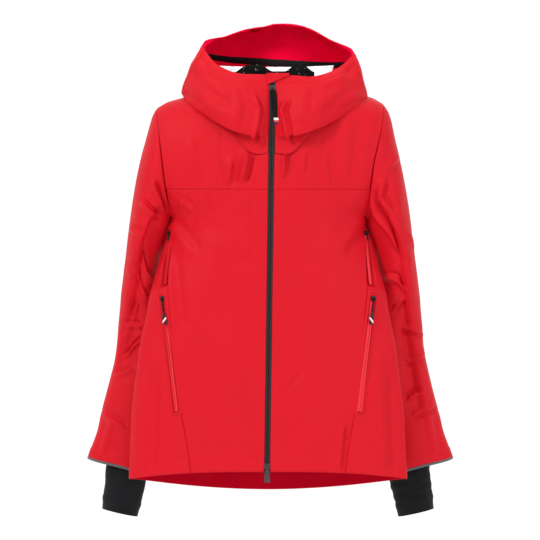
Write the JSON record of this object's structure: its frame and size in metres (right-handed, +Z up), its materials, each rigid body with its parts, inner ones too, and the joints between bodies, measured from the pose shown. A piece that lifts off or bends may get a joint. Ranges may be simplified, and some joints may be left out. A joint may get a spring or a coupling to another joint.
{
  "type": "hooded hardshell jacket",
  "caption": "Hooded waterproof shell jacket with a two-way front zip, zipped hand pockets, side vents, bending sleeves and tuck-in wrist gaiters.",
  "frame": {"origin": "centre of the neck opening, where a coat hanger's hook stands", "axes": "+Z up, front of the jacket towards -Y, wearer's left towards +X"},
  "size_m": [0.6826, 0.2484, 0.9359],
  "materials": {
    "shell": "matte woven three-layer shell",
    "facing": "crimson lining fabric",
    "welt": "bonded bright red welt tape",
    "binding": "grey elastic binding",
    "knit": "black stretch jersey",
    "lining": "pale inner lining",
    "mesh": "black perforated mesh",
    "webbing": "black woven webbing",
    "moulded": "matte moulded rubber",
    "metal": "satin gunmetal",
    "zip": "moulded and woven polyester zip"
  },
  "bodies": {
    "jacket": {"front_panel_left": "shell", "front_panel_right": "shell", "front_yoke_left": "shell", "front_yoke_right": "shell", "side_panel_left": "shell", "side_panel_right": "shell", "back_panel": "shell", "back_yoke": "shell", "hood_cheek_left": "shell", "hood_cheek_right": "shell", "hood_crown": "shell", "hood_brim_facing": "facing", "hood_band": "webbing", "neck_lining": "lining", "chin_guard": "mesh", "zip_garage": "shell", "hanger_loop": "webbing", "wind_flap": "facing", "zip_tape_left": "zip", "zip_tape_right": "zip", "zip_teeth_left": "zip", "zip_teeth_right": "zip", "zip_stops": "metal", "zip_bottom_pins": "metal", "pocket_zip_left": "zip", "pocket_zip_right": "zip", "pocket_welt_left": "welt", "pocket_welt_right": "welt", "pocket_bag_left": "lining", "pocket_bag_right": "lining", "vent_zip_left": "zip", "vent_zip_right": "zip", "sleeve_upper_left": "shell", "sleeve_upper_right": "shell"},
    "upper_slider": {"upper_slider": "metal"},
    "upper_pull": {"upper_pull": "webbing", "upper_pull_tip": "moulded"},
    "lower_slider": {"lower_slider": "metal"},
    "lower_pull": {"lower_pull": "metal"},
    "pocket_slider_left": {"pocket_slider_left": "metal"},
    "pocket_pull_left": {"pocket_pull_left": "moulded"},
    "vent_slider_left": {"vent_slider_left": "metal"},
    "forearm_left": {"sleeve_forearm_left": "shell", "sleeve_binding_left": "binding"},
    "gaiter_left": {"wrist_gaiter_left": "knit"},
    "pocket_slider_right": {"pocket_slider_right": "metal"},
    "pocket_pull_right": {"pocket_pull_right": "moulded"},
    "vent_slider_right": {"vent_slider_right": "metal"},
    "forearm_right": {"sleeve_forearm_right": "shell", "sleeve_binding_right": "binding"},
    "gaiter_right": {"wrist_gaiter_right": "knit"}
  },
  "joints": [
    {"name": "upper_zip_slide", "type": "slide", "parent": "jacket", "child": "upper_slider", "axis": [0.0136, 0, 0.9999], "range_m": [-0.62, 0]},
    {"name": "upper_pull_swing", "type": "hinge", "parent": "upper_slider", "child": "upper_pull", "pos_m": [0.0084, -0.0944, 0.005], "axis": [-0.9999, 0, 0.0136], "range_deg": [0, 160]},
    {"name": "lower_zip_slide", "type": "slide", "parent": "jacket", "child": "lower_slider", "axis": [0.0136, 0, 0.9999], "range_m": [0, 0.62]},
    {"name": "lower_pull_swing", "type": "hinge", "parent": "lower_slider", "child": "lower_pull", "pos_m": [-0.00131, -0.0944, -0.708], "axis": [-0.9999, 0, 0.0136], "range_deg": [0, 160]},
    {"name": "pocket_slide_left", "type": "slide", "parent": "jacket", "child": "pocket_slider_left", "axis": [0.1224, 0.0701, 0.99], "range_m": [-0.2, 0]},
    {"name": "pocket_pull_swing_left", "type": "hinge", "parent": "pocket_slider_left", "child": "pocket_pull_left", "pos_m": [0.20063, -0.06935, -0.39176], "axis": [-0.9522, -0.273, 0.1371], "range_deg": [0, 150]},
    {"name": "vent_slide_left", "type": "slide", "parent": "jacket", "child": "vent_slider_left", "axis": [-0.0869, 0.3039, 0.9487], "range_m": [-0.085, 0]},
    {"name": "elbow_left", "type": "hinge", "parent": "jacket", "child": "forearm_left", "pos_m": [0.27843, 0.01471, -0.41174], "axis": [-0.5, -0.866, 0], "range_deg": [0, 90]},
    {"name": "gaiter_tuck_left", "type": "slide", "parent": "forearm_left", "child": "gaiter_left", "axis": [-0.1606, 0.0803, 0.9837], "range_m": [0, 0.035]},
    {"name": "pocket_slide_right", "type": "slide", "parent": "jacket", "child": "pocket_slider_right", "axis": [-0.1224, 0.0701, 0.99], "range_m": [-0.2, 0]},
    {"name": "pocket_pull_swing_right", "type": "hinge", "parent": "pocket_slider_right", "child": "pocket_pull_right", "pos_m": [-0.20063, -0.06935, -0.39176], "axis": [-0.9522, 0.273, -0.1371], "range_deg": [0, 150]},
    {"name": "vent_slide_right", "type": "slide", "parent": "jacket", "child": "vent_slider_right", "axis": [0.0869, 0.3039, 0.9487], "range_m": [-0.085, 0]},
    {"name": "elbow_right", "type": "hinge", "parent": "jacket", "child": "forearm_right", "pos_m": [-0.27843, 0.01471, -0.41174], "axis": [-0.5, 0.866, 0], "range_deg": [0, 90]},
    {"name": "gaiter_tuck_right", "type": "slide", "parent": "forearm_right", "child": "gaiter_right", "axis": [0.1606, 0.0803, 0.9837], "range_m": [0, 0.035]}
  ]
}
